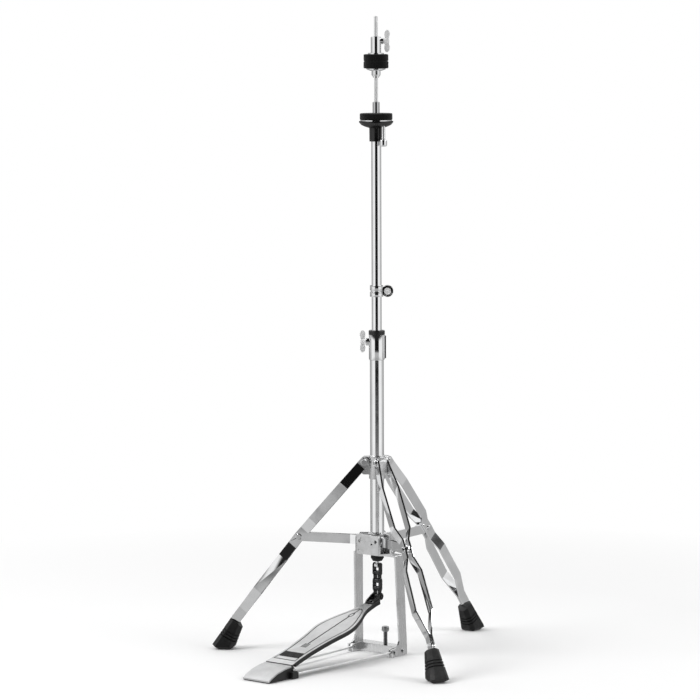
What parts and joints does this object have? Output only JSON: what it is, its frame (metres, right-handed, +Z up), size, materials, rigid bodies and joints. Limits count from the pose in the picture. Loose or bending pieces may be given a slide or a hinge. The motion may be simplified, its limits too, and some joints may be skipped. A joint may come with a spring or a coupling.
{
  "type": "hi-hat stand",
  "caption": "Folding tripod hi-hat stand: pedal, chain and sprung pull rod inside a telescopic column, felt-faced lower cymbal seat and clutch for the upper cymbal.",
  "frame": {"origin": "point on the floor under the column's axis, on the base bar's underside", "axes": "+Z up along the column; -Y towards the player's heel; +X to the right when looking along +Y from the pedal"},
  "size_m": [0.4788, 0.5723, 1.0249],
  "materials": {
    "chrome_tube": "polished chrome plating",
    "chrome_strip": "polished chrome plating on flat strip",
    "chrome_small": "polished chrome hardware",
    "rod_steel": "bright ground steel",
    "frame_steel": "satin plated steel",
    "cast_head": "bright silver casting",
    "board_metal": "satin cast aluminium",
    "black_plastic": "matt black moulding",
    "black_rubber": "black rubber",
    "felt": "pressed black wool felt",
    "chain_steel": "dark oiled steel",
    "spring_steel": "spring wire"
  },
  "bodies": {
    "base": {"lower_tube": "chrome_tube", "height_clamp": "chrome_tube", "height_bushing": "black_plastic", "frame_head": "cast_head", "frame_strap": "frame_steel", "base_bar": "frame_steel", "frame_rivets": "chrome_small", "radius_rods": "rod_steel", "heel_base": "black_plastic", "heel_plate": "board_metal", "hinge_pin": "rod_steel", "lower_bushing": "black_rubber", "stay_pins": "chrome_small", "return_spring": "spring_steel"},
    "upper_tube": {"upper_tube": "chrome_tube", "seat_cup": "black_plastic", "seat_sleeve": "chrome_small"},
    "memory_lock": {"memory_lock": "chrome_small"},
    "lock_bolt": {"memory_lock_bolt": "chrome_small"},
    "tilt_screw": {"tilt_screw": "chrome_small"},
    "seat": {"seat_washer": "chrome_small", "seat_felt": "felt"},
    "pull_rod": {"pull_rod": "rod_steel", "spring_collar": "rod_steel"},
    "chain": {"chain_outer_links": "chain_steel", "chain_inner_links": "chain_steel"},
    "footboard": {"footboard": "board_metal", "footboard_frame": "black_plastic", "grip_panel": "black_rubber", "toe_clip": "chain_steel"},
    "clutch": {"clutch_barrel": "chrome_small", "clutch_washers": "chrome_small", "clutch_felts": "felt"},
    "clutch_nut": {"clutch_nut": "chrome_small"},
    "clutch_wing_bolt": {"clutch_wing_bolt": "chrome_small"},
    "height_wing_bolt": {"height_wing_bolt": "chrome_small"},
    "hub": {"hub": "cast_head", "hub_rivets": "chrome_small"},
    "hub_bolt": {"hub_bolt": "chrome_small"},
    "anchor_bolt": {"anchor_bolt": "chain_steel"},
    "leg_left": {"leg_strips_left": "chrome_strip", "leg_rivets_left": "chrome_small", "leg_foot_left": "black_rubber"},
    "stay_left": {"stay_left": "chrome_strip"},
    "leg_right": {"leg_strips_right": "chrome_strip", "leg_rivets_right": "chrome_small", "leg_foot_right": "black_rubber"},
    "stay_right": {"stay_right": "chrome_strip"},
    "leg_rear": {"leg_strips_rear": "chrome_strip", "leg_rivets_rear": "chrome_small", "leg_foot_rear": "black_rubber"},
    "stay_rear": {"stay_rear": "chrome_strip"}
  },
  "joints": [
    {"name": "pedal_rod_travel", "type": "slide", "parent": "base", "child": "pull_rod", "axis": [0, 0, -1], "range_m": [0, 0.036], "stiffness_N_per_m": 600, "springref_m": -0.05, "deforming": ["return_spring"]},
    {"name": "footboard_swing", "type": "hinge", "parent": "base", "child": "footboard", "pos_m": [0, -0.242, 0.013], "axis": [-1, 0, 0], "range_deg": [0, 8.2]},
    {"name": "chain_swing", "type": "hinge", "parent": "pull_rod", "child": "chain", "pos_m": [0, 0, 0.143], "axis": [1, 0, 0], "range_deg": [0, 10]},
    {"name": "height_slide", "type": "slide", "parent": "base", "child": "upper_tube", "axis": [0, 0, 1], "range_m": [-0.052, 0]},
    {"name": "lock_slide", "type": "slide", "parent": "upper_tube", "child": "memory_lock", "axis": [0, 0, 1], "range_m": [0, 0.2]},
    {"name": "lock_bolt_turn", "type": "hinge", "parent": "memory_lock", "child": "lock_bolt", "pos_m": [0.01364, 0.01097, 0.5869], "axis": [0.6266, -0.7793, 0], "continuous": true},
    {"name": "tilt_screw_travel", "type": "slide", "parent": "upper_tube", "child": "tilt_screw", "axis": [0, 0, 1], "range_m": [0, 0.0035]},
    {"name": "seat_tilt", "type": "hinge", "parent": "upper_tube", "child": "seat", "pos_m": [-0.02363, 0.00417, 0.8595], "axis": [-0.1736, -0.9848, 0], "range_deg": [0, 4.9]},
    {"name": "clutch_slide", "type": "slide", "parent": "pull_rod", "child": "clutch", "axis": [0, 0, 1], "range_m": [0, 0.025]},
    {"name": "clutch_nut_turn", "type": "hinge", "parent": "clutch", "child": "clutch_nut", "pos_m": [0, 0, 0.934], "axis": [0, 0, 1], "continuous": true},
    {"name": "clutch_bolt_turn", "type": "hinge", "parent": "clutch", "child": "clutch_wing_bolt", "pos_m": [0.01065, 0.00746, 0.9855], "axis": [0.8192, 0.5736, 0], "continuous": true},
    {"name": "height_bolt_turn", "type": "hinge", "parent": "base", "child": "height_wing_bolt", "pos_m": [-0.01403, -0.01128, 0.506], "axis": [-0.7793, -0.6266, 0], "continuous": true},
    {"name": "hub_slide", "type": "slide", "parent": "base", "child": "hub", "axis": [0, 0, 1], "range_m": [0, 0.1319]},
    {"name": "hub_bolt_turn", "type": "hinge", "parent": "hub", "child": "hub_bolt", "pos_m": [-0.01559, 0.009, 0.29], "axis": [-0.866, 0.5, 0], "continuous": true},
    {"name": "anchor_bolt_travel", "type": "slide", "parent": "base", "child": "anchor_bolt", "axis": [0, 0, 1], "range_m": [-0.002, 0.001]},
    {"name": "leg_fold_left", "type": "hinge", "parent": "hub", "child": "leg_left", "pos_m": [-0.01689, -0.00975, 0.3113], "axis": [0.5, -0.866, 0], "range_deg": [0, 29.1]},
    {"name": "stay_fold_left", "type": "hinge", "parent": "base", "child": "stay_left", "pos_m": [-0.02252, -0.013, 0.1845], "axis": [-0.5, 0.866, 0], "range_deg": [0, 72.62]},
    {"name": "leg_fold_right", "type": "hinge", "parent": "hub", "child": "leg_right", "pos_m": [0.01689, -0.00975, 0.3113], "axis": [0.5, 0.866, 0], "range_deg": [0, 29.1]},
    {"name": "stay_fold_right", "type": "hinge", "parent": "base", "child": "stay_right", "pos_m": [0.02252, -0.013, 0.1845], "axis": [-0.5, -0.866, 0], "range_deg": [0, 72.62]},
    {"name": "leg_fold_rear", "type": "hinge", "parent": "hub", "child": "leg_rear", "pos_m": [0, 0.0195, 0.3113], "axis": [-1, 0, 0], "range_deg": [0, 29.1]},
    {"name": "stay_fold_rear", "type": "hinge", "parent": "base", "child": "stay_rear", "pos_m": [0, 0.026, 0.1845], "axis": [1, 0, 0], "range_deg": [0, 72.62]}
  ],
  "couplings": [
    {"joint": "footboard_swing", "follows": "pedal_rod_travel", "rad_per_m": 3.965},
    {"joint": "chain_swing", "follows": "pedal_rod_travel", "rad_per_m": 4.8393},
    {"joint": "seat_tilt", "follows": "tilt_screw_travel", "rad_per_m": 24.27},
    {"joint": "leg_fold_left", "follows": "hub_slide", "rad_per_m": 3.8481},
    {"joint": "stay_fold_left", "follows": "hub_slide", "rad_per_m": 9.6073},
    {"joint": "leg_fold_right", "follows": "hub_slide", "rad_per_m": 3.8481},
    {"joint": "stay_fold_right", "follows": "hub_slide", "rad_per_m": 9.6073},
    {"joint": "leg_fold_rear", "follows": "hub_slide", "rad_per_m": 3.8481},
    {"joint": "stay_fold_rear", "follows": "hub_slide", "rad_per_m": 9.6073}
  ]
}
